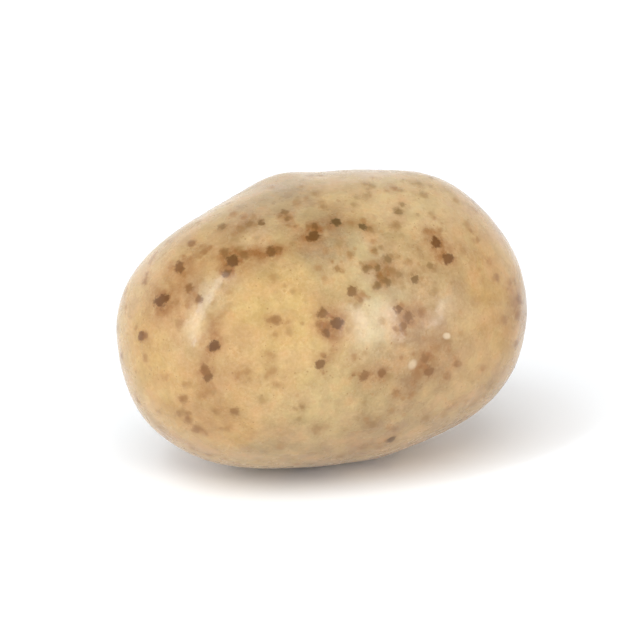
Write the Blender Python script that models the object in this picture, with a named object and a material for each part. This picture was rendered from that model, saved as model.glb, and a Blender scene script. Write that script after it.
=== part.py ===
"""White chocolate coffee almond: one whole panned candy, modelled in metres with +Z up.

The candy is an egg-like body of nearly round section, lying on its side with its long axis along X.
It rests on a small flat at Z = 0, and the origin is at the middle of its base.
Its surface keeps the soft shoulders, flats and waves that a candy gets while it tumbles in the pan.
"""

import math

import bmesh
import bpy
import numpy as np

MM = 0.001

# Overall size of the candy as it lies
LENGTH = 28.0 * MM
DEPTH = 19.2 * MM
HEIGHT = 19.1 * MM

# Plain body
FULLNESS = 2.3  # exponent of the outline: 2 is an ellipse, more is blunter
TAPER = 0.04  # the +X end is this share wider than the middle, the -X end narrower

# Broad features: azimuth from +X towards +Y, elevation, height in millimetres and reach in degrees
FEATURES = {
    "top_left_shoulder": (107, 65, 0.50, 13),
    "top_right_shoulder": (-5, 46, 0.45, 13),
    "upper_left_flat": (141, 33, -0.80, 20),
    "left_end_flat": (156, -7, -0.40, 17),
    "lower_left_belly": (174, -45, 0.30, 22),
    "lower_back_flat": (-139, -69, -0.25, 20),
    "lower_right_flat": (-44, -42, -0.30, 18),
}

# Fine waviness left by the pan: even spots on the body, each a little high or low
WAVES = 60
WAVE_HEIGHT = 0.06 * MM
WAVE_REACH_DEG = 17
WAVE_SEED = 7

REST_CUT = 0.12 * MM  # taken off the bottom, for the flat that it rests on
GRID = 24  # quads along each edge of the six-sided grid that the body is made from
SHARP_EDGE_DEG = 40

COATING_COLOUR = (0.66, 0.45, 0.22, 1.0)
COATING_ROUGHNESS = 0.3


def direction(azimuth_deg, elevation_deg):
    """The unit vector of an azimuth from +X towards +Y and an elevation above the horizontal."""
    azimuth = math.radians(azimuth_deg)
    elevation = math.radians(elevation_deg)
    level = math.cos(elevation)
    return np.array([level * math.cos(azimuth), level * math.sin(azimuth), math.sin(elevation)])


def spread_directions(count):
    """Unit vectors spread evenly over a sphere along a golden spiral."""
    place = (np.arange(count) + 0.5) / count
    height = 1.0 - 2.0 * place
    turn = math.pi * (1.0 + math.sqrt(5.0)) * place * count
    level = np.sqrt(1.0 - height**2)
    return np.column_stack((level * np.cos(turn), level * np.sin(turn), height))


def hill(units, centre, reach_deg):
    """A smooth hill of height 1 around a direction, fallen to about a third at its reach."""
    angle = np.arccos(np.clip(units @ centre, -1.0, 1.0))
    return np.exp(-((angle / math.radians(reach_deg)) ** 2))


def surface_radius(units):
    """Distance from the centre to the surface in each direction, before the taper."""
    half_size = np.array([LENGTH, DEPTH, HEIGHT]) / 2
    across = np.linalg.norm(units[:, 1:] / half_size[1:], axis=1)
    along = np.abs(units[:, 0] / half_size[0])
    radius = (along**FULLNESS + across**FULLNESS) ** (-1.0 / FULLNESS)
    for azimuth, elevation, height_mm, reach in FEATURES.values():
        radius += height_mm * MM * hill(units, direction(azimuth, elevation), reach)
    heights = np.random.default_rng(WAVE_SEED).uniform(-WAVE_HEIGHT, WAVE_HEIGHT, WAVES)
    for centre, height in zip(spread_directions(WAVES), heights):
        radius += height * hill(units, centre, WAVE_REACH_DEG)
    return radius


def candy_points(units):
    """The surface point in each direction, fitted to the overall size with its bottom cut below Z = 0."""
    points = units * surface_radius(units)[:, None]
    points[:, 1:] *= 1.0 + TAPER * points[:, :1] / (LENGTH / 2)
    low = points.min(axis=0)
    high = points.max(axis=0)
    points = (points - (low + high) / 2) * [LENGTH, DEPTH, HEIGHT + REST_CUT] / (high - low)
    points[:, 2] += (HEIGHT - REST_CUT) / 2
    return points


def cube_grid(count):
    """A cube's surface as an even grid of quads, as (unit vectors, quads)."""
    across = np.tan(np.linspace(-math.pi / 4, math.pi / 4, count + 1)).round(6)
    corners = {}
    quads = []
    for axis in range(3):
        for side in (-1.0, 1.0):
            grid = np.empty((count + 1, count + 1), int)
            for i, first in enumerate(across):
                for j, second in enumerate(across):
                    corner = [side, first, second]
                    key = tuple(corner[-axis:] + corner[:-axis])
                    grid[i, j] = corners.setdefault(key, len(corners))
            for i in range(count):
                for j in range(count):
                    quad = [grid[i, j], grid[i + 1, j], grid[i + 1, j + 1], grid[i, j + 1]]
                    quads.append(quad if side > 0 else quad[::-1])
    units = np.array(list(corners))
    return units / np.linalg.norm(units, axis=1, keepdims=True), quads


def cut_rest_flat(mesh):
    """Cuts the candy off level at Z = 0 and closes the cut with one flat face."""
    shape = bmesh.new()
    shape.from_mesh(mesh)
    geometry = shape.verts[:] + shape.edges[:] + shape.faces[:]
    cut = bmesh.ops.bisect_plane(
        shape, geom=geometry, plane_co=(0, 0, 0), plane_no=(0, 0, 1), clear_inner=True
    )
    rim = [piece for piece in cut["geom_cut"] if isinstance(piece, bmesh.types.BMEdge)]
    bmesh.ops.contextual_create(shape, geom=rim)
    bmesh.ops.recalc_face_normals(shape, faces=shape.faces[:])
    shape.to_mesh(mesh)
    shape.free()


def coating_material():
    """White chocolate tinted by coffee, with a polished glaze."""
    material = bpy.data.materials.new("coffee_white_chocolate")
    material.use_nodes = True
    shader = material.node_tree.nodes["Principled BSDF"]
    shader.inputs["Base Color"].default_value = COATING_COLOUR
    shader.inputs["Roughness"].default_value = COATING_ROUGHNESS
    shader.inputs["Metallic"].default_value = 0.0
    return material


def build_candy():
    """The whole candy as one solid."""
    units, quads = cube_grid(GRID)
    mesh = bpy.data.meshes.new("coated_almond")
    mesh.from_pydata(candy_points(units).tolist(), [], quads)
    cut_rest_flat(mesh)
    mesh.shade_smooth()
    mesh.set_sharp_from_angle(angle=math.radians(SHARP_EDGE_DEG))
    mesh.materials.append(coating_material())
    candy = bpy.data.objects.new("coated_almond", mesh)
    bpy.context.scene.collection.objects.link(candy)


def main():
    for old in list(bpy.data.objects):
        bpy.data.objects.remove(old)
    build_candy()


main()
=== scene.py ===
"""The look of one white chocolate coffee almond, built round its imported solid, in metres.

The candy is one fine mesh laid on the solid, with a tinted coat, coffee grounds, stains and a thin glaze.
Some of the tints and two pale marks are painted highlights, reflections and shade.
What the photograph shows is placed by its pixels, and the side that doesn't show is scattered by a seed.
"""

import math

import bpy
import numpy as np
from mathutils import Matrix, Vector, noise
from mathutils.bvhtree import BVHTree


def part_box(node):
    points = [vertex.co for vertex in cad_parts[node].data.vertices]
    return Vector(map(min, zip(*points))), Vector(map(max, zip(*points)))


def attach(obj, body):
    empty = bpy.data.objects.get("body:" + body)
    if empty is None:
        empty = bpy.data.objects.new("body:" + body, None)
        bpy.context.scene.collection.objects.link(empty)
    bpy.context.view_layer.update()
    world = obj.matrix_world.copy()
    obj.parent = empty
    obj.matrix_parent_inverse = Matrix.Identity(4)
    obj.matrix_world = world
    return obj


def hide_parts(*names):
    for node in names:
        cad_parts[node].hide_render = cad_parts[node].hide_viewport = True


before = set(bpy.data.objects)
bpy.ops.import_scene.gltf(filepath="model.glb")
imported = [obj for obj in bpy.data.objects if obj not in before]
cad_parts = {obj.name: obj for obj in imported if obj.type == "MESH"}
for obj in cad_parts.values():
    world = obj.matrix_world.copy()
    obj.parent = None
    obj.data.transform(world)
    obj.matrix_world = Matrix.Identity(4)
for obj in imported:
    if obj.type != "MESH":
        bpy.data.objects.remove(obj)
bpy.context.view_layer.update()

MM = 0.001

# The photograph's view of the candy
VIEW_AZIMUTH_DEG = -26.0
VIEW_ELEVATION_DEG = 19.0
VIEW_DISTANCE = 0.42
PHOTO_CENTRE = (227.4, 393.0)  # the photograph's pixel where the middle of the candy lies
PHOTO_SPAN = 220  # how many of the photograph's pixels the picture is wide
PIXEL = 0.1908 * MM  # what one of the photograph's pixels spans at the candy
SENSOR_MM = 36.0
INWARD_STEP = 0.99  # a pixel past the outline moves towards the middle by this factor at a time
INWARD_STEPS = 40

# Floor
FLOOR_RADIUS = 4.0
FLOOR_CORNERS = 96
FLOOR_GAP = 0.02 * MM  # how far the floor lies below the candy
FLOOR_COLOUR = (0.965, 0.978, 0.995, 1.0)
FLOOR_ROUGHNESS = 0.65
FLOOR_GLOW = (0.06, 0.45, 0.0, 0.25)  # distances where the glow starts and is full, and the glow at both

# White walls round the stage
WALL_COLOUR = (1.0, 0.995, 0.985, 1.0)
WALL_FADE = (0.32, 0.72, 1.24, 0.20)  # elevations (as sines) where they start and stop fading, light at both

# Softboxes: bearing to the right of the camera's and elevation in degrees, width, height, power,
# turn in degrees, colour
SOFTBOX_DISTANCE = 0.6
SOFTBOXES = {
    "left_strip": (-42, 35, 0.076, 0.74, 2.15, 2, (0.82, 0.93, 1.0)),
    "right_window": (46, 12, 0.085, 0.36, 0.72, 2, (1.0, 1.0, 1.0)),
    "right_strip": (66, 9, 0.006, 0.16, 0.2, -28, (1.0, 1.0, 1.0)),
}

# Wide lights: bearing and elevation as above, power, width in degrees, whether the glaze mirrors them
WIDE_LIGHTS = {
    "ceiling": (-2, 60, 1.55, 50, False),
    "back_fill": (-130, 32, 0.3, 60, True),
}

# Fine mesh
GRID = 120  # quads along each edge of the six-sided grid
SMOOTHING_STEPS = 14
SMOOTHING_SHARE = 0.5
NOISE_SHIFT = (1.0, 0.7, -1.0)  # the way that an offset moves the noise

# Relief of the glaze: wavelength, height and offset of the noise
RELIEF = {
    "soft_dents": (4.2 * MM, 0.060 * MM, 0.0),
    "orange_peel": (1.5 * MM, 0.013 * MM, 7.0),
}
GROUND_RISE = 0.012 * MM  # how far a ground lifts the glaze over it
RISE_START = 0.3  # how deep in a ground the lift starts
RISE_SLOPE = 2.0

# Broad tints of the coat, in linear colour
TAN = (0.40, 0.252, 0.108)
YELLOW = (0.455, 0.292, 0.102)
PEACH = (0.385, 0.215, 0.084)
PINK = (0.285, 0.172, 0.080)
GREY = (0.345, 0.246, 0.152)
# PALE is the coat's paler colour; along the crown and rims it is also painted rim highlight
PALE = (0.52, 0.372, 0.200)
GREEN = (0.405, 0.290, 0.128)
# DULL is a darker coat colour; at the foot it is painted shade
DULL = (0.27, 0.170, 0.078)
DUSK = (0.25, 0.178, 0.096)
ORANGE = (0.36, 0.190, 0.042)
# CREAM is a pale patch of the coat, and at the window areas a painted reflection of the right softbox
CREAM = (0.43, 0.338, 0.188)
AMBER = (0.46, 0.265, 0.085)
# A dark orange-brown used only as painted shade along the right rim
RIM_SHADE_BROWN = (0.25, 0.125, 0.02)
TAN_WEIGHT = 0.25

# Tinted areas of the side that shows: pixel x and y, reach in pixels, colour, weight. Some are painted light:
# rim highlights, softbox reflections, and shade at the foot and along the right rim
TINTED_AREAS = {
    "heart": (217, 396, 15, YELLOW, 1.6),
    "upper_left": (197, 385, 10, YELLOW, 0.8),
    "shoulder": (211, 351, 11, GREY, 1.8),
    # Crown and rims: partly the coat's paler colour, partly painted rim highlight
    "crown": (236, 347, 9, PALE, 0.8),
    "crown_right": (254, 350, 9, PALE, 2.4),
    "top_rim": (222, 342, 5, PALE, 1.6),
    "left_rim": (187, 354, 6, PALE, 2.0),
    "left_rim_low": (168, 370, 6, PALE, 1.2),
    "middle_grey": (229, 366, 9, DUSK, 1.8),
    "middle": (243, 374, 9, CREAM, 1.6),
    # Painted reflection: a paler, creamier patch where the right softbox's highlight falls
    "window": (247, 392, 7, CREAM, 2.2),
    "upper_middle": (257, 364, 6, DULL, 0.9),
    "ridge_side": (205, 375, 5, DULL, 0.3),
    "halo": (218, 364, 5, DULL, 1.2),
    # Partly painted rim highlight along the upper left
    "shoulder_side": (205, 363, 4, PALE, 0.8),
    # Painted reflection: a greyer, paler patch round the left softbox's streak
    "painted_streak_reflection": (190, 384, 6, GREY, 2.2),
    "heart_side": (231, 386, 5, DULL, 0.6),
    "left_band": (178, 384, 11, PEACH, 1.6),
    "left_edge": (166, 406, 10, AMBER, 1.8),
    # Partly painted rim highlight along the top right
    "top_right": (263, 353, 12, PALE, 1.6),
    "right": (289, 380, 11, ORANGE, 2.4),
    "right_end": (293, 399, 11, ORANGE, 2.2),
    "middle_right": (261, 402, 12, PINK, 2.6),
    "low_middle": (230, 419, 12, GREEN, 2.4),
    "low_left": (187, 424, 12, PEACH, 1.4),
    "left_foot": (176, 422, 10, AMBER, 1.8),
    "front_foot": (196, 432, 9, AMBER, 1.6),
    # Painted shade: the coat darker towards the foot, where the candy meets the floor
    "foot": (222, 438, 12, DULL, 1.2),
    "foot_rim": (245, 438, 7, DULL, 1.4),
    "foot_rim_left": (205, 439, 6, DULL, 1.5),
    "right_foot": (252, 424, 11, DULL, 1.3),
    "below_window": (246, 407, 5, PINK, 1.2),
    # Painted shade at the lower right foot and rim
    "right_base": (268, 430, 10, DULL, 1.4),
    "right_base_rim": (274, 431, 7, RIM_SHADE_BROWN, 1.6),
    "right_middle": (267, 380, 8, DULL, 0.9),
    "left_lower": (201, 405, 7, PEACH, 1.6),
    # Painted reflection: the top of the right softbox's highlight
    "window_top": (253, 384, 5, CREAM, 1.4),
    "cluster": (250, 377, 6, GREY, 1.4),
    "window_side": (257, 407, 5, DULL, 0.8),
    # Painted shade along the right rim
    "right_side": (284, 420, 8, RIM_SHADE_BROWN, 2.0),
    "right_rim": (298, 390, 7, RIM_SHADE_BROWN, 3.0),
    "right_rim_low": (294, 408, 7, RIM_SHADE_BROWN, 2.5),
}
UNSEEN_TINTS = (YELLOW, PEACH, GREY, PALE, GREEN, PINK, TAN)
UNSEEN_AREAS = 34
UNSEEN_REACH = 2.6 * MM
UNSEEN_REACH_SPREAD = (0.7, 1.5)
UNSEEN_WEIGHT = (0.8, 1.7)
DRIFT_SIZE = 4.0 * MM  # wavelength of the noise that makes the areas' edges uneven
DRIFT_REACH = 1.3 * MM
DRIFT_OFFSETS = (3.0, 17.0, 41.0)

# Coffee grounds of the side that shows, by part of the candy: their warmth from olive (0) to red-brown (1),
# then the pixel x and y, radius in pixels and darkness from 0 to 1 of each
GROUNDS = {
    "left_end": (0.9, [
        (173.0, 386.3, 2.3, 0.95), (179.0, 374.8, 1.9, 0.75), (183.3, 366.6, 1.4, 0.6),
        (187.4, 369.7, 1.3, 0.5), (182.6, 382.4, 1.5, 0.65), (185.9, 385.8, 1.3, 0.7),
        (167.2, 379.9, 1.1, 0.55), (166.1, 398.6, 1.5, 0.75), (169.8, 371.5, 1.1, 0.4),
        (172.3, 390.6, 1.1, 0.4), (179.2, 394.2, 1.5, 0.4), (167.2, 405.4, 1.0, 0.4),
        (159.0, 405.4, 1.0, 0.5),
    ]),
    "shoulder": (0.4, [
        (193.8, 361.0, 1.4, 0.6), (199.9, 362.3, 1.1, 0.4), (202.7, 360.0, 1.4, 0.5),
        (207.0, 359.5, 1.1, 0.7), (215.2, 355.9, 1.2, 0.6), (216.2, 358.0, 1.1, 0.6),
        (228.5, 353.9, 1.1, 0.35), (225.4, 349.5, 1.0, 0.25), (219.0, 352.0, 0.9, 0.25),
    ]),
    "ridge": (0.6, [
        (194.8, 369.7, 1.5, 0.6), (197.3, 372.8, 1.9, 0.85), (195.3, 376.8, 1.4, 0.75),
        (201.4, 370.7, 1.4, 0.6), (210.6, 369.3, 1.6, 0.75), (213.0, 368.8, 1.1, 0.6),
        (225.4, 364.2, 1.9, 0.85), (225.6, 361.0, 1.3, 0.7), (206.0, 371.0, 0.9, 0.4),
        (211.1, 378.6, 1.2, 0.25), (195.8, 383.2, 1.1, 0.3), (192.8, 391.6, 1.2, 0.3),
    ]),
    "crown": (0.1, [
        (232.8, 359.4, 1.5, 0.85), (242.2, 360.9, 1.3, 0.8), (244.6, 361.2, 0.7, 0.5),
        (254.3, 355.7, 1.4, 0.6), (245.1, 347.0, 1.1, 0.3), (243.5, 350.2, 1.1, 0.3),
        (261.3, 346.0, 1.2, 0.3), (253.5, 360.6, 1.3, 0.35), (238.8, 353.2, 0.8, 0.3),
    ]),
    "middle": (0.7, [
        (233.3, 375.3, 1.1, 0.5), (237.8, 370.6, 1.2, 0.45), (229.4, 369.3, 1.0, 0.3),
        (238.6, 383.0, 1.6, 0.7), (240.9, 386.0, 1.0, 0.5), (228.4, 390.8, 1.6, 0.7),
        (233.1, 394.2, 2.0, 0.85), (229.7, 397.4, 1.3, 0.75), (227.0, 395.0, 1.0, 0.5),
        (212.1, 392.9, 1.5, 0.55), (227.7, 408.0, 1.6, 0.75), (210.1, 404.9, 1.3, 0.3),
        (211.1, 410.5, 1.3, 0.3), (212.7, 415.1, 1.0, 0.3), (202.4, 411.0, 1.2, 0.35),
        (239.1, 405.9, 1.0, 0.4), (231.7, 403.3, 0.9, 0.35),
    ]),
    "upper_right_pair": (0.85, [
        (267.2, 366.5, 1.8, 0.85), (271.3, 372.0, 1.8, 0.8), (263.9, 362.5, 1.0, 0.4),
        (268.4, 362.6, 1.0, 0.4),
    ]),
    "upper_right": (0.25, [
        (265.2, 374.7, 1.2, 0.55), (250.6, 372.0, 1.5, 0.62), (247.2, 375.0, 1.3, 0.65),
        (243.3, 375.3, 1.2, 0.62), (250.3, 379.7, 1.6, 0.65), (247.2, 381.0, 1.2, 0.65),
        (254.7, 377.5, 1.3, 0.5), (252.0, 376.0, 1.2, 0.45), (249.4, 376.9, 1.1, 0.45),
        (246.1, 369.1, 1.0, 0.5), (258.0, 372.8, 1.0, 0.4), (260.1, 379.0, 1.3, 0.7),
        (267.1, 382.9, 1.0, 0.35), (255.9, 382.0, 0.9, 0.3),
    ]),
    "middle_right": (0.85, [
        (254.1, 389.2, 1.4, 0.75), (257.8, 391.9, 1.7, 0.7), (256.0, 395.0, 1.3, 0.65),
        (262.4, 390.3, 1.3, 0.55), (263.4, 405.9, 1.6, 0.6), (264.7, 410.6, 1.7, 0.65),
        (261.0, 411.8, 1.4, 0.45), (267.5, 402.0, 1.3, 0.4), (274.5, 407.9, 1.3, 0.55),
        (271.3, 412.2, 1.3, 0.45), (248.6, 411.1, 1.3, 0.65), (242.5, 412.2, 1.5, 0.65),
        (253.5, 417.9, 1.3, 0.5), (258.7, 418.5, 1.2, 0.4),
    ]),
    "right_end": (0.9, [
        (288.3, 378.4, 1.1, 0.5), (292.7, 380.0, 1.1, 0.4), (295.8, 386.0, 1.5, 0.6),
        (295.3, 391.5, 1.3, 0.55), (290.6, 393.1, 1.5, 0.4), (294.8, 401.2, 1.3, 0.55),
        (283.5, 409.6, 1.2, 0.3), (279.1, 362.2, 0.8, 0.4), (281.7, 365.3, 0.9, 0.4),
    ]),
    "low_left": (0.8, [
        (191.0, 401.8, 1.7, 0.95), (187.7, 409.5, 1.3, 0.65), (189.2, 412.6, 1.5, 0.75),
        (188.9, 417.7, 1.1, 0.35), (180.8, 420.2, 1.3, 0.5), (179.2, 424.8, 1.1, 0.5),
        (182.0, 427.3, 1.2, 0.5), (185.4, 430.4, 1.5, 0.5), (191.7, 424.5, 1.1, 0.45),
        (198.1, 424.3, 1.4, 0.6), (195.3, 430.4, 1.0, 0.3), (181.0, 415.1, 1.0, 0.3),
        (174.0, 413.0, 1.0, 0.25),
    ]),
    "foot": (0.4, [
        (221.3, 422.8, 1.0, 0.5), (226.2, 430.4, 1.2, 0.3), (251.9, 434.2, 1.4, 0.85),
        (253.0, 430.5, 1.1, 0.45), (245.1, 428.9, 1.6, 0.45), (251.9, 424.2, 1.1, 0.3),
        (263.7, 426.6, 1.3, 0.4), (270.2, 425.8, 1.3, 0.35), (242.0, 437.0, 1.5, 0.35),
    ]),
}

# Brown stains of the side that shows: pixel x and y, reach along and across in pixels,
# turn in degrees from level with the right end rising, strength
STAINS = {
    "left_band": (180, 379, 14, 5, 52, 0.6),
    "left_band_low": (175, 388, 6, 5, 0, 0.55),
    "ridge": (207, 370, 11, 2.6, 8, 0.9),
    "ridge_corner": (197, 373.5, 6, 6, 0, 0.9),
    "ridge_end": (221, 366, 6, 3, 25, 0.55),
    "shoulder": (201, 362, 9, 4, 10, 0.1),
    "orange_drop": (190.5, 398.6, 6, 3.2, 75, 1.1),
    "heart": (231.5, 394, 7, 5, -15, 1.0),
    "heart_tail": (232, 402, 8, 3, 80, 0.45),
    "heart_side": (212, 392.5, 4, 3, 0, 0.45),
    "upper_right": (269, 369, 8, 5, -60, 0.75),
    "right_smear": (264, 406, 10, 5, 60, 0.6),
    "right_smudge": (258, 392, 6, 4, 40, 0.2),
    "low_right": (246, 412, 8, 3.5, 0, 0.55),
    "right_end": (295, 389, 8, 2.5, -80, 0.6),
    "low_left": (186, 427, 8, 5, -30, 0.25),
    "left_low": (189, 412, 7, 3.5, -70, 0.75),
    "foot": (242, 436, 10, 3.5, 10, 0.4),
    "low_heart": (208, 411, 9, 5, 0, 0.35),
    "crown": (228, 362, 8, 3.5, 15, 0.5),
}

# Soft stains of the side that doesn't show: patches of noise with bare coat between them
PATCH_SIZE = 4.5 * MM
PATCH_STRENGTH = 1.9
PATCH_GAP = 0.25
PATCH_OFFSET = 31.0
PATCH_EDGE = 0.5  # their strength on the outline of the side that shows
PATCH_FADE = 3.0  # how fast they fade as the surface turns to the camera

# Grounds of the side that doesn't show, in clusters and alone
SCATTER_SEED = 12
UNSEEN_CLUSTERS = 34
CLUSTER_GROUNDS = (3, 11)
CLUSTER_REACH = 1.9 * MM
CLUSTER_DARKNESS = (0.35, 1.0)
LONE_GROUNDS = 210
LONE_DARKNESS = (0.25, 0.95)
LONE_LARGEST = 0.8  # how near the largest radius a lone ground comes
GROUND_RADIUS = (0.13 * MM, 0.40 * MM)

# Grounds that show, with crumbs round the paler ones, and faint grounds all over the candy
SHOWN_FULLNESS = 1.12  # how much larger than its pixels say a ground is built, because its rim is ragged
CRUMBS = (0, 4)
CRUMB_SPREAD = 1.7  # in radii of the ground
CRUMB_RADIUS = (0.11 * MM, 0.19 * MM)
CRUMB_DARKNESS = (0.4, 0.9)  # as a share of the ground's
CRUMBLESS_DARKNESS = 0.8  # grounds from this dark on lie without crumbs
FAINT_GROUNDS = 330
FAINT_RADIUS = (0.14 * MM, 0.30 * MM)
FAINT_DARKNESS = (0.15, 0.4)

# All grounds
GROUND_STRETCH = (1.0, 1.5)
STAIN_REACH = 3.2  # how many radii a stain spreads round a ground
STAIN_FADE = 0.6  # the share of that reach where it has faded to about a third
STAIN_STRENGTH = 0.8
SEEN_MARGIN = 0.12  # how far past the outline the photograph still tells where grounds are
DEPTH_SCALE = 0.65  # how much of the depth from the camera counts in the size of a ground that shows

# Painted glints, small pale marks in the coat's colour that stand for highlights: pixel x and y, half length
# and half width in pixels, turn in degrees, strength
PAINTED_GLINTS = {
    "right_glint": (271.0, 398.5, 1.4, 1.2, 0, 0.36),
    "low_glint": (259.2, 408.3, 2.0, 1.4, 60, 0.30),
}
GLINT_COLOUR = (0.85, 0.72, 0.52, 1.0)
GLINT_RIM = (1.4, 0.1)  # squared distances where a painted glint starts and is full, its half sizes being 1
GLINT_DEPTH = 3.0  # millimetres behind it where a painted glint no longer shows

# The coat's material, with noise in waves for each millimetre
CLOUDY = (4.0, 0.6)  # detail and roughness of most of the noise

# Clouds in the coat: waves, detail and roughness of the noise, where it starts and is full,
# strength, colour
CLOUDS = {
    "pale_clouds": (0.55, 4.0, 0.6, 0.30, 0.70, 0.32, (0.60, 0.42, 0.20, 1.0)),
    "warm_clouds": (0.9, 3.0, 0.55, 0.52, 0.72, 0.35, (0.40, 0.20, 0.07, 1.0)),
    "blotches": (2.2, 4.0, 0.6, 0.50, 0.74, 0.24, (0.28, 0.145, 0.055, 1.0)),
    "grain": (5.0, 3.0, 0.6, 0.35, 0.68, 0.12, (0.74, 0.56, 0.33, 1.0)),
}

# Swings of its colour: waves of the noise, where it starts and is full, what the colour is
# multiplied by at both
SWINGS = {
    "olive": (0.7, 0.35, 0.65, (0.99, 0.95, 0.94, 1.0), (1.0, 1.02, 0.96, 1.0)),
    "shade": (0.9, 0.30, 0.72, (0.87, 0.86, 0.86, 1.0), (1.06, 1.07, 1.12, 1.0)),
}

# Stains: waves of the noise that breaks them, where it starts and is full, strengths at both
STAIN_BREAKS = (1.6, 0.25, 0.70, 0.35, 1.25)
STAIN_SHARE = 0.62
STAIN_COLOUR = (0.25, 0.108, 0.033, 1.0)

# Fine grounds: cells for each millimetre, radius in cells, strength, colour
FINE_GROUNDS = {
    "buried": (1.7, 0.34, 0.38, (0.34, 0.17, 0.06, 1.0)),
    "dust": (4.0, 0.30, 0.55, (0.24, 0.115, 0.04, 1.0)),
}
FINE_SHARE = 0.10  # the share of cells with a ground where there is no crowd
CROWD_SHARE = 0.6  # what a crowd adds to that
CROWD_NOISE = (0.35, 3.0, 0.6)  # waves, detail and roughness
CROWD_RANGE = (0.40, 0.68)  # where that noise starts to make a crowd and makes a full one
NOISE_CROWD = 0.35
STAIN_CROWD = 0.5
SPECK_RIPPLES = 3.0  # waves for each cell in the unevenness of a fine ground's rim
SPECK_UNEVENNESS = 0.22
SPECK_MARGIN = 0.11  # makes up for the unevenness, which only takes away
SPECK_SOFTNESS = 0.07

# Single grounds
GROUND_RIM = 0.5  # how deep in a ground its rim lies, where 0 is one more radius out and 1 its middle
RAGGED_NOISE = (3.0, 5.0, 0.65)  # waves, detail and roughness
RAGGEDNESS = 1.2
RIM_SOFTNESS = (0.2, 0.9, 0.50, 0.18)  # two grades of darkness, and how soft the rim is at both
GROUND_STRENGTH = (0.1, 1.0, 0.40, 0.95)  # two grades of darkness, and how strongly they colour the coat
BROWNING = (0.2, 0.95)  # darkness of the grounds that have the faint and the strong browns
FAINT_BROWNS = ((0.25, 0.150, 0.050, 1.0), (0.28, 0.120, 0.028, 1.0))  # olive and red-brown
STRONG_BROWNS = ((0.095, 0.052, 0.012, 1.0), (0.115, 0.038, 0.004, 1.0))

# Glaze: a polish that is uneven, and rougher over the grounds
POLISH_WAVES = 0.7
POLISH = (0.30, 0.72, 0.20, 0.34)  # where its noise starts and is full, and the roughness at both
GROUND_ROUGHNESS = 0.08
GLAZE = {
    "Specular IOR Level": 0.3,
    "Coat Weight": 0.17,
    "Coat Roughness": 0.11,
    "Sheen Weight": 0.14,
    "Sheen Roughness": 0.35,
    "Sheen Tint": (1.0, 0.96, 0.88, 1.0),
    "Subsurface Weight": 0.25,
    "Subsurface Radius": (1.0, 0.65, 0.35),
    "Subsurface Scale": 0.9 * MM,
}

# Fine relief of the glaze, where the ripples count as 1
RIPPLE_NOISE = (1.1, 3.0)  # waves and detail
PORE_NOISE = (6.0, 2.0)
PORE_DEPTH = 0.10
GROUND_HEIGHT = 0.12
BUMP_STRENGTH = 0.35
BUMP_HEIGHT = 0.05 * MM


def view_axes():
    """The camera's unit vectors: to its right, up, and back towards it."""
    azimuth = math.radians(VIEW_AZIMUTH_DEG)
    elevation = math.radians(VIEW_ELEVATION_DEG)
    level = math.cos(elevation)
    back = np.array([math.sin(azimuth) * level, -math.cos(azimuth) * level, math.sin(elevation)])
    right = np.array([math.cos(azimuth), math.sin(azimuth), 0.0])
    return right, np.cross(back, right), back


RIGHT, UP, BACK = view_axes()
LOW, HIGH = (np.array(corner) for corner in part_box("coated_almond"))
CENTRE = (LOW + HIGH) / 2
EYE = CENTRE + BACK * VIEW_DISTANCE


def solid_tree():
    """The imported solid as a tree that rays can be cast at."""
    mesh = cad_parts["coated_almond"].data
    points = [vertex.co.copy() for vertex in mesh.vertices]
    return BVHTree.FromPolygons(points, [list(face.vertices) for face in mesh.polygons])


SOLID = solid_tree()


def at_pixel(x, y):
    """The surface's point at a pixel of the photograph, or on the outline if the pixel is past it."""
    reach = np.array([x - PHOTO_CENTRE[0], PHOTO_CENTRE[1] - y])
    for _ in range(INWARD_STEPS):
        aim = -BACK * VIEW_DISTANCE + (RIGHT * reach[0] + UP * reach[1]) * PIXEL
        hit = SOLID.ray_cast(Vector(EYE), Vector(aim).normalized())[0]
        if hit is not None:
            return np.array(hit)
        reach *= INWARD_STEP
    raise ValueError(f"no surface near pixel {x}, {y}")


def cube_grid(count):
    """A cube's surface as an even grid of quads, as (unit vectors, quads)."""
    across = np.tan(np.linspace(-math.pi / 4, math.pi / 4, count + 1)).round(6)
    corners = {}
    quads = []
    for axis in range(3):
        for side in (-1.0, 1.0):
            grid = np.empty((count + 1, count + 1), int)
            for i, first in enumerate(across):
                for j, second in enumerate(across):
                    corner = [side, first, second]
                    key = tuple(corner[-axis:] + corner[:-axis])
                    grid[i, j] = corners.setdefault(key, len(corners))
            block = np.stack((grid[:-1, :-1], grid[1:, :-1], grid[1:, 1:], grid[:-1, 1:]), axis=-1)
            quads.append(block.reshape(-1, 4)[:, :: int(side)])
    units = np.array(list(corners))
    return units / np.linalg.norm(units, axis=1, keepdims=True), np.concatenate(quads)


def smoothed(values, quads):
    """Values at the grid's points, each moved towards the mean of its neighbours several times."""
    pairs = np.concatenate([quads[:, [0, 1]], quads[:, [1, 2]], quads[:, [2, 3]], quads[:, [3, 0]]])
    start, end = pairs.T
    count = np.bincount(start, minlength=len(values))
    for _ in range(SMOOTHING_STEPS):
        mean = np.bincount(start, weights=values[end], minlength=len(values)) / count
        values = values + SMOOTHING_SHARE * (mean - values)
    return values


def noise_at(points, wavelength, octaves=1, offset=0.0):
    """Smooth noise from about -1 to 1 at each point."""
    shift = Vector([offset * share for share in NOISE_SHIFT])
    scaled = points / wavelength
    if octaves == 1:
        return np.array([noise.noise(Vector(point) + shift) for point in scaled])
    return np.array([noise.fractal(Vector(point) + shift, 1.0, 2.0, octaves) for point in scaled])


def unit(vectors):
    """Vectors scaled to length 1."""
    return vectors / np.linalg.norm(vectors, axis=-1, keepdims=True)


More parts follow.
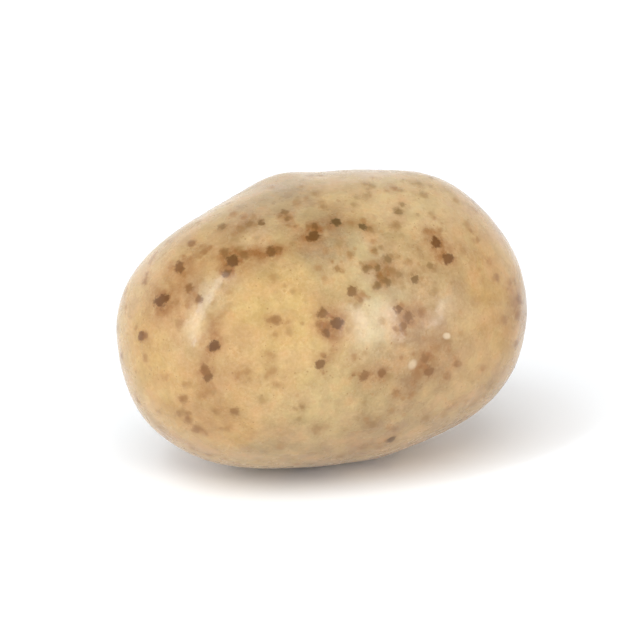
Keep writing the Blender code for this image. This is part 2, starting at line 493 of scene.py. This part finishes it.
def seen_share(points):
    """How far each point of the surface faces the photograph's camera, from its direction from the centre."""
    return unit((points - CENTRE) / (HIGH - LOW) ** 2) @ BACK


def surface_at(direction):
    """The point of the candy's surface in a direction from its centre."""
    return np.array(SOLID.ray_cast(Vector(CENTRE), Vector(direction))[0])


def scattered(random):
    """Grounds of the side that the photograph doesn't show, as (place, radius, darkness, warmth)."""
    found = []
    for _ in range(UNSEEN_CLUSTERS):
        heart = surface_at(unit(random.normal(size=3)))
        for _ in range(random.integers(*CLUSTER_GROUNDS)):
            place = surface_at(unit(heart + random.normal(size=3) * CLUSTER_REACH / 2 - CENTRE))
            radius = random.uniform(*GROUND_RADIUS)
            found.append((place, radius, random.uniform(*CLUSTER_DARKNESS), random.random()))
    smallest, largest = GROUND_RADIUS
    for _ in range(LONE_GROUNDS):
        place = surface_at(unit(random.normal(size=3)))
        size = random.random() ** 2  # small ones are the more frequent
        radius = smallest + (largest - smallest) * size * LONE_LARGEST
        found.append((place, radius, random.uniform(*LONE_DARKNESS), random.random()))
    return [ground for ground in found if seen_share(ground[0]) < SEEN_MARGIN]


def shown_grounds(random):
    """Grounds of the side that the photograph shows, as (place, radius, darkness, warmth)."""
    found = []
    for warmth, rows in GROUNDS.values():
        for x, y, radius, darkness in rows:
            place = at_pixel(x, y)
            found.append((place, radius * PIXEL * SHOWN_FULLNESS, darkness, warmth))
            for _ in range(random.integers(*CRUMBS) if darkness < CRUMBLESS_DARKNESS else 0):
                side = random.normal(size=3) * radius * PIXEL * CRUMB_SPREAD
                crumb = surface_at(unit(place + side - CENTRE))
                size = random.uniform(*CRUMB_RADIUS)
                found.append((crumb, size, darkness * random.uniform(*CRUMB_DARKNESS), warmth))
    for _ in range(FAINT_GROUNDS):
        place = surface_at(unit(random.normal(size=3)))
        darkness, warmth = random.uniform(*FAINT_DARKNESS), random.random()
        found.append((place, random.uniform(*FAINT_RADIUS), darkness, warmth))
    return found


def ground_fields(points, random):
    """At each point: how deep it lies in a ground (0.5 at the rim), that ground's look, and the stain."""
    depth = np.zeros(len(points))
    darkness = np.zeros(len(points))
    warmth = np.zeros(len(points))
    stain = np.zeros(len(points))
    for place, radius, dark, warm in shown_grounds(random) + scattered(random):
        offset = points - place
        spread = radius * STAIN_REACH
        near = np.flatnonzero(np.abs(offset).max(axis=1) < spread * 2)
        offset = offset[near]
        along = unit(np.cross(place - CENTRE, random.normal(size=3)))
        stretch = random.uniform(*GROUND_STRETCH)
        if seen_share(place) >= SEEN_MARGIN:
            offset -= np.outer(offset @ BACK, BACK) * (1.0 - DEPTH_SCALE)
            stretch = stretch**0.5
        run = offset @ along
        reach = (offset**2).sum(axis=1) + run**2 * (stretch**-2 - 1.0)
        distance = np.sqrt(np.maximum(reach, 0.0)) * stretch**0.5
        inside = 1.0 - distance / (2.0 * radius)
        deeper = inside > depth[near]
        darkness[near[deeper]] = dark
        warmth[near[deeper]] = warm
        depth[near[deeper]] = inside[deeper]
        stain[near] += STAIN_STRENGTH * dark * np.exp(-((distance / (spread * STAIN_FADE)) ** 2))
    return depth, darkness, warmth, stain


def shown_stains(points):
    """The strength of the named stains at each point."""
    total = np.zeros(len(points))
    facing = seen_share(points) > 0.0
    for x, y, along, across, turn_deg, strength in STAINS.values():
        offset = points - at_pixel(x, y)
        turn = math.radians(turn_deg)
        side, rise = offset @ RIGHT, offset @ UP
        run = (side * math.cos(turn) + rise * math.sin(turn)) / (along * PIXEL)
        cross = (rise * math.cos(turn) - side * math.sin(turn)) / (across * PIXEL)
        total += facing * strength * np.exp(-(run**2 + cross**2))
    return total


def unseen_stains(points):
    """Soft stains of the side that the photograph doesn't show."""
    patches = noise_at(points, PATCH_SIZE, 3, PATCH_OFFSET) * PATCH_STRENGTH - PATCH_GAP
    hidden = PATCH_EDGE - seen_share(points) * PATCH_FADE
    return np.clip(patches, 0.0, 1.0) * np.clip(hidden, 0.0, 1.0)


def tint_and_painted_light(points, random):
    """The coat's colour at each point, blended from its tinted areas, some of which hold painted highlights,
    reflections and shade.
    """
    drift = np.column_stack([noise_at(points, DRIFT_SIZE, 3, offset) for offset in DRIFT_OFFSETS])
    drifted = points + drift * DRIFT_REACH
    areas = []
    for x, y, reach, colour, weight in TINTED_AREAS.values():
        areas.append((at_pixel(x, y), reach * PIXEL, colour, weight))
    for _ in range(UNSEEN_AREAS):
        place = surface_at(unit(random.normal(size=3)))
        colour = UNSEEN_TINTS[random.integers(len(UNSEEN_TINTS))]
        if seen_share(place) < 0.0:
            reach = UNSEEN_REACH * random.uniform(*UNSEEN_REACH_SPREAD)
            areas.append((place, reach, colour, random.uniform(*UNSEEN_WEIGHT)))
    total = np.full(len(points), TAN_WEIGHT)
    tint = total[:, None] * np.array(TAN)
    for place, reach, colour, weight in areas:
        share = weight * np.exp(-(((drifted - place) ** 2).sum(axis=1)) / reach**2)
        total += share
        tint += share[:, None] * np.array(colour)
    return tint / total[:, None]


def store(mesh, name, values):
    """Keeps a number or a colour at each point of a mesh."""
    if values.ndim == 1:
        mesh.attributes.new(name, "FLOAT", "POINT").data.foreach_set("value", values.astype(np.float32))
        return
    rgba = np.column_stack((values, np.ones(len(values)))).astype(np.float32)
    mesh.attributes.new(name, "FLOAT_COLOR", "POINT").data.foreach_set("color", rgba.ravel())


class Graph:
    """Short ways to add nodes to a material and join them."""

    def __init__(self, name):
        self.material = bpy.data.materials.new(name)
        self.material.use_nodes = True
        self.tree = self.material.node_tree
        self.shader = self.tree.nodes["Principled BSDF"]

    def put(self, node, socket, value):
        """Joins an output to a node's input, or sets the input."""
        target = node.inputs[socket]
        if isinstance(value, bpy.types.NodeSocket):
            self.tree.links.new(value, target)
        else:
            target.default_value = value

    def add(self, kind, inputs=(), output=0, **settings):
        """Adds a node with its settings and inputs, and gives one of its outputs."""
        node = self.tree.nodes.new(kind)
        for key, value in settings.items():
            setattr(node, key, value)
        for socket, value in dict(inputs).items():
            self.put(node, socket, value)
        return node.outputs[output]

    def math(self, operation, *values, clamp=False):
        """The result of a sum, product or other operation on numbers."""
        return self.add("ShaderNodeMath", enumerate(values), operation=operation, use_clamp=clamp)

    def ramp(self, value, low, high, to_low=0.0, to_high=1.0):
        """A number taken smoothly from one range to another, and held at its ends."""
        names = {"Value": value, "From Min": low, "From Max": high, "To Min": to_low, "To Max": to_high}
        return self.add("ShaderNodeMapRange", names, interpolation_type="SMOOTHSTEP")

    def mix(self, share, first, second, blend="MIX"):
        """Two colours mixed, with the second in front by its share."""
        node = self.tree.nodes.new("ShaderNodeMix")
        node.data_type = "RGBA"
        node.blend_type = blend
        for socket, value in ((0, share), (6, first), (7, second)):
            self.put(node, socket, value)
        return node.outputs[2]

    def attribute(self, name, output="Fac"):
        """What the mesh keeps at each point under a name."""
        return self.add("ShaderNodeAttribute", output=output, attribute_name=name)

    def noise(self, place, scale, detail=2.0, rough=0.5):
        """Noise from 0 to 1, with scale in waves for each millimetre."""
        inputs = {"Vector": place, "Scale": scale, "Detail": detail, "Roughness": rough}
        return self.add("ShaderNodeTexNoise", inputs)

    def dot(self, place, axis):
        """How far a place lies along a fixed axis, in units of the axis."""
        inputs = {0: place, 1: tuple(axis)}
        return self.add("ShaderNodeVectorMath", inputs, output="Value", operation="DOT_PRODUCT")


def fine_specks(graph, place, cells, size, presence):
    """Specks in random cells: a mask that is 1 inside them. cells is how many for each millimetre."""
    node = graph.tree.nodes.new("ShaderNodeTexVoronoi")
    graph.put(node, "Vector", place)
    graph.put(node, "Scale", cells)
    split = graph.add("ShaderNodeSeparateColor", {"Color": node.outputs["Color"]})
    radius = graph.math("MULTIPLY", split, size)
    chosen = graph.math("LESS_THAN", split.node.outputs[1], presence)
    uneven = graph.noise(place, cells * SPECK_RIPPLES)
    reach = graph.math("MULTIPLY_ADD", uneven, SPECK_UNEVENNESS, node.outputs["Distance"])
    gap = graph.math("SUBTRACT", graph.math("ADD", radius, SPECK_MARGIN), reach)
    return graph.math("MULTIPLY", graph.ramp(gap, 0.0, SPECK_SOFTNESS), chosen)


def painted_glint(graph, place, x, y, along, across, turn_deg, strength):
    """How much a painted glint, a small pale mark standing for a highlight at a pixel of the photograph,
    shows at each place.
    """
    turn = math.radians(turn_deg)
    centre = tuple(at_pixel(x, y) / MM)
    offset = graph.add("ShaderNodeVectorMath", {0: place, 1: centre}, operation="SUBTRACT")
    run = RIGHT * math.cos(turn) + UP * math.sin(turn)
    squares = []
    for axis, reach in ((run, along), (np.cross(BACK, run), across)):
        share = graph.dot(offset, axis * MM / (reach * PIXEL))
        squares.append(graph.math("MULTIPLY", share, share))
    front = graph.math("GREATER_THAN", graph.dot(offset, BACK), -GLINT_DEPTH)
    inside = graph.ramp(graph.math("ADD", *squares), *GLINT_RIM, 0.0, strength)
    return graph.math("MULTIPLY", inside, front)


def clouded(graph, place, colour):
    """A colour with finer clouds in it, that swings between hues and shades."""
    for waves, detail, rough, low, high, strength, cloud in CLOUDS.values():
        share = graph.ramp(graph.noise(place, waves, detail, rough), low, high)
        colour = graph.mix(graph.math("MULTIPLY", share, strength), colour, cloud)
    for waves, low, high, first, second in SWINGS.values():
        share = graph.ramp(graph.noise(place, waves, *CLOUDY), low, high)
        colour = graph.mix(1.0, colour, graph.mix(share, first, second), "MULTIPLY")
    return colour


def with_fine_grounds(graph, place, colour, stain):
    """A colour with fine grounds in it, that crowd here and there and where the coat is stained."""
    density = graph.ramp(graph.noise(place, *CROWD_NOISE), *CROWD_RANGE)
    crowds = graph.math("MULTIPLY", density, NOISE_CROWD), graph.math("MULTIPLY", stain, STAIN_CROWD)
    presence = graph.math("MULTIPLY_ADD", graph.math("ADD", *crowds), CROWD_SHARE, FINE_SHARE)
    for cells, size, strength, brown in FINE_GROUNDS.values():
        specks = fine_specks(graph, place, cells, size, presence)
        colour = graph.mix(graph.math("MULTIPLY", specks, strength), colour, brown)
    return colour


def single_grounds(graph, place):
    """Single grounds as (mask, share, colour). Faint ones lie deep and blurred, dark ones are crisp."""
    darkness = graph.attribute("darkness")
    ragged = graph.math("SUBTRACT", graph.noise(place, *RAGGED_NOISE), 0.5)
    depth = graph.math("MULTIPLY_ADD", ragged, RAGGEDNESS, graph.attribute("ground"))
    inward = graph.math("SUBTRACT", depth, GROUND_RIM)
    blurred = graph.math("DIVIDE", inward, graph.ramp(darkness, *RIM_SOFTNESS))
    mask = graph.math("ADD", blurred, 0.5, clamp=True)
    warmth = graph.attribute("warmth")
    faint = graph.mix(warmth, *FAINT_BROWNS)
    strong = graph.mix(warmth, *STRONG_BROWNS)
    brown = graph.mix(graph.ramp(darkness, *BROWNING), faint, strong)
    return mask, graph.math("MULTIPLY", mask, graph.ramp(darkness, *GROUND_STRENGTH)), brown


def glaze(graph, place, ground):
    """Sets the polish and the fine relief of the glaze: ripples, pores and the grounds."""
    polish = graph.ramp(graph.noise(place, POLISH_WAVES, *CLOUDY), *POLISH)
    graph.put(graph.shader, "Roughness", graph.math("MULTIPLY_ADD", ground, GROUND_ROUGHNESS, polish))
    for socket, value in GLAZE.items():
        graph.put(graph.shader, socket, value)
    ripples = graph.noise(place, *RIPPLE_NOISE)
    pores = graph.noise(place, *PORE_NOISE)
    height = graph.math("MULTIPLY_ADD", ground, GROUND_HEIGHT, ripples)
    height = graph.math("MULTIPLY_ADD", pores, PORE_DEPTH, height)
    inputs = {"Strength": BUMP_STRENGTH, "Distance": BUMP_HEIGHT, "Height": height}
    graph.put(graph.shader, "Normal", graph.add("ShaderNodeBump", inputs))


def coating_material():
    """White chocolate tinted by coffee under a thin glaze, with coffee grounds at several depths."""
    graph = Graph("coffee_white_chocolate")
    metres = graph.add("ShaderNodeTexCoord", output="Object")
    place = graph.add("ShaderNodeVectorMath", {0: metres, 3: 1.0 / MM}, operation="SCALE")
    colour = clouded(graph, place, graph.attribute("tint_and_painted_light", "Color"))
    waves, *breaks = STAIN_BREAKS
    broken = graph.ramp(graph.noise(place, waves, *CLOUDY), *breaks)
    stain = graph.math("MULTIPLY", graph.attribute("stain"), broken)
    colour = graph.mix(graph.math("MULTIPLY", stain, STAIN_SHARE, clamp=True), colour, STAIN_COLOUR)
    colour = with_fine_grounds(graph, place, colour, stain)
    ground, share, brown = single_grounds(graph, place)
    colour = graph.mix(share, colour, brown)
    # Painted glints: pale marks mixed into the base colour that stand for highlights
    glint_share = 0.0
    for row in PAINTED_GLINTS.values():
        glint_share = graph.math("MAXIMUM", painted_glint(graph, place, *row), glint_share)
    graph.put(graph.shader, "Base Color", graph.mix(glint_share, colour, GLINT_COLOUR))
    glaze(graph, place, ground)
    return graph.material


def build_candy():
    """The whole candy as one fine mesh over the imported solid, with its colours kept at its points."""
    units, quads = cube_grid(GRID)
    radius = np.array([SOLID.ray_cast(Vector(CENTRE), Vector(direction))[3] for direction in units])
    points = CENTRE + units * smoothed(radius, quads)[:, None]
    random = np.random.default_rng(SCATTER_SEED)
    depth, darkness, warmth, stain = ground_fields(points, random)
    stain += shown_stains(points) + unseen_stains(points)
    lift = GROUND_RISE * np.clip((depth - RISE_START) * RISE_SLOPE, 0.0, 1.0)
    for wavelength, height, offset in RELIEF.values():
        lift += height * noise_at(points, wavelength, 2, offset)
    tint = tint_and_painted_light(points, random)
    points += units * lift[:, None]
    points[:, 2] = np.maximum(points[:, 2], LOW[2])
    mesh = bpy.data.meshes.new("candy_coat")
    mesh.from_pydata(points.tolist(), [], quads.tolist())
    mesh.shade_smooth()
    store(mesh, "ground", depth)
    store(mesh, "darkness", darkness)
    store(mesh, "warmth", warmth)
    store(mesh, "stain", stain)
    store(mesh, "tint_and_painted_light", tint)
    mesh.materials.append(coating_material())
    candy = bpy.data.objects.new("candy_coat", mesh)
    bpy.context.scene.collection.objects.link(candy)
    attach(candy, "root")
    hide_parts("coated_almond")


def build_floor():
    """A wide pale floor, a hair below the candy."""
    centre = (0, 0, LOW[2] - FLOOR_GAP)
    bpy.ops.mesh.primitive_circle_add(
        vertices=FLOOR_CORNERS, radius=FLOOR_RADIUS, fill_type="NGON", location=centre
    )
    floor = bpy.context.object
    floor.name = "floor"
    graph = Graph("pale_floor")
    graph.put(graph.shader, "Base Color", FLOOR_COLOUR)
    graph.put(graph.shader, "Roughness", FLOOR_ROUGHNESS)
    metres = graph.add("ShaderNodeTexCoord", output="Object")
    away = graph.add("ShaderNodeVectorMath", {0: metres}, output="Value", operation="LENGTH")
    graph.put(graph.shader, "Emission Color", (1.0, 1.0, 1.0, 1.0))
    graph.put(graph.shader, "Emission Strength", graph.ramp(away, *FLOOR_GLOW))
    floor.data.materials.append(graph.material)


def bearing(side_deg, rise_deg):
    """The unit vector of a bearing to the right of the camera's and an elevation."""
    azimuth = math.radians(VIEW_AZIMUTH_DEG + side_deg)
    rise = math.radians(rise_deg)
    level = math.cos(rise)
    return Vector((math.sin(azimuth) * level, -math.cos(azimuth) * level, math.sin(rise)))


def wide_light(name, side_deg, rise_deg, power, width_deg, mirrored):
    """A very large, far and soft light. mirrored is whether the glaze shows it."""
    light = bpy.data.lights.new(name, "SUN")
    light.energy = power
    light.angle = math.radians(width_deg)
    lamp = bpy.data.objects.new(name, light)
    lamp.rotation_euler = bearing(side_deg, rise_deg).to_track_quat("Z", "Y").to_euler()
    lamp.visible_glossy = mirrored
    bpy.context.scene.collection.objects.link(lamp)


def softbox(name, side_deg, rise_deg, width, height, power, turn_deg, colour):
    """A soft light that faces the candy. side_deg is its bearing to the right of the camera's."""
    away = bearing(side_deg, rise_deg)
    light = bpy.data.lights.new(name, "AREA")
    light.shape = "RECTANGLE"
    light.size = width
    light.size_y = height
    light.energy = power
    light.color = colour
    lamp = bpy.data.objects.new(name, light)
    lamp.location = Vector(CENTRE) + away * SOFTBOX_DISTANCE
    lamp.rotation_euler = away.to_track_quat("Z", "Y").to_euler()
    lamp.rotation_euler.rotate_axis("Z", math.radians(turn_deg))
    lamp.visible_camera = False
    bpy.context.scene.collection.objects.link(lamp)


def build_lights():
    """Plain soft studio light: white walls, a few softboxes and two wide lights."""
    world = bpy.data.worlds.new("studio")
    world.use_nodes = True
    nodes, links = world.node_tree.nodes, world.node_tree.links
    place = nodes.new("ShaderNodeTexCoord")
    split = nodes.new("ShaderNodeSeparateXYZ")
    links.new(place.outputs["Generated"], split.inputs[0])
    fade = nodes.new("ShaderNodeMapRange")
    fade.interpolation_type = "SMOOTHSTEP"
    links.new(split.outputs["Z"], fade.inputs["Value"])
    for socket, value in zip(("From Min", "From Max", "To Min", "To Max"), WALL_FADE):
        fade.inputs[socket].default_value = value
    links.new(fade.outputs[0], nodes["Background"].inputs["Strength"])
    nodes["Background"].inputs["Color"].default_value = WALL_COLOUR
    bpy.context.scene.world = world
    for name, row in SOFTBOXES.items():
        softbox(name, *row)
    for name, row in WIDE_LIGHTS.items():
        wide_light(name, *row)


def build_camera():
    """The camera at the photograph's viewing angle, close enough to fill the picture with the one candy."""
    data = bpy.data.cameras.new("camera")
    data.sensor_width = SENSOR_MM
    data.lens = SENSOR_MM * VIEW_DISTANCE / PIXEL / PHOTO_SPAN
    camera = bpy.data.objects.new("camera", data)
    camera.location = EYE
    camera.rotation_euler = Vector(BACK).to_track_quat("Z", "Y").to_euler()
    bpy.context.scene.collection.objects.link(camera)
    bpy.context.scene.camera = camera


build_camera()
build_lights()
build_floor()
build_candy()
bpy.context.scene.view_settings.view_transform = "Standard"
